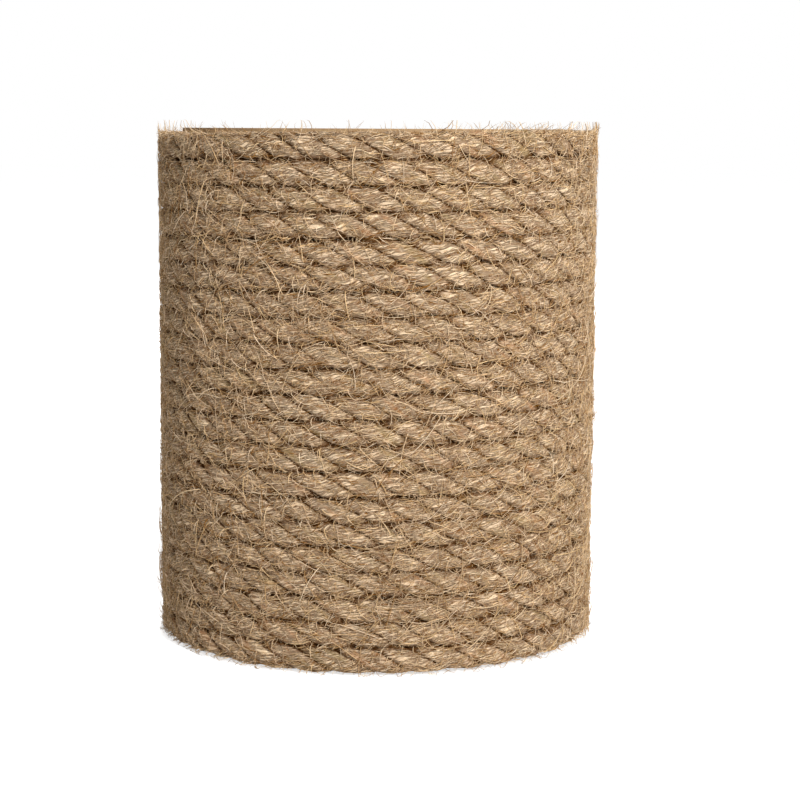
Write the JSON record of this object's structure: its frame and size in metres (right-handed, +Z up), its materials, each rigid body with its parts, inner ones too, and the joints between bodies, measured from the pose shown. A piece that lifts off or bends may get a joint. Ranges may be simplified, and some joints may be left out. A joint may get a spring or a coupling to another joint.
{
  "type": "cat scratching post",
  "caption": "Cylindrical cat scratching post section: a paper tube closely wound with jute rope, with plywood end discs, threaded inserts and a stud to join it on.",
  "frame": {"origin": "centre of the bottom end face, in the plane that the post stands on", "axes": "+Z up along the post; -Y towards the viewer of the picture; the rope starts and ends at the back, +Y"},
  "size_m": [0.111, 0.111, 0.13],
  "materials": {
    "paperboard": "matte",
    "plywood": "matte",
    "jute_rope": "matte",
    "zinc_steel": "satin",
    "staple_wire": "satin",
    "stud_steel": "satin",
    "hot_melt_glue": "gloss"
  },
  "bodies": {
    "post": {"core_tube": "paperboard", "top_disc": "plywood", "bottom_disc": "plywood", "top_tee_nut": "zinc_steel", "bottom_tee_nut": "zinc_steel", "top_disc_staples": "staple_wire", "bottom_disc_staples": "staple_wire", "rope_winding": "jute_rope", "bottom_rope_staples": "staple_wire", "top_rope_staples": "staple_wire", "bottom_glue_bead": "hot_melt_glue", "top_glue_bead": "hot_melt_glue"},
    "stud": {"connecting_stud": "stud_steel"}
  },
  "joints": [
    {"name": "stud_screw_out", "type": "slide", "parent": "post", "child": "stud", "axis": [0, 0, 1], "range_m": [0, 0.02]}
  ]
}
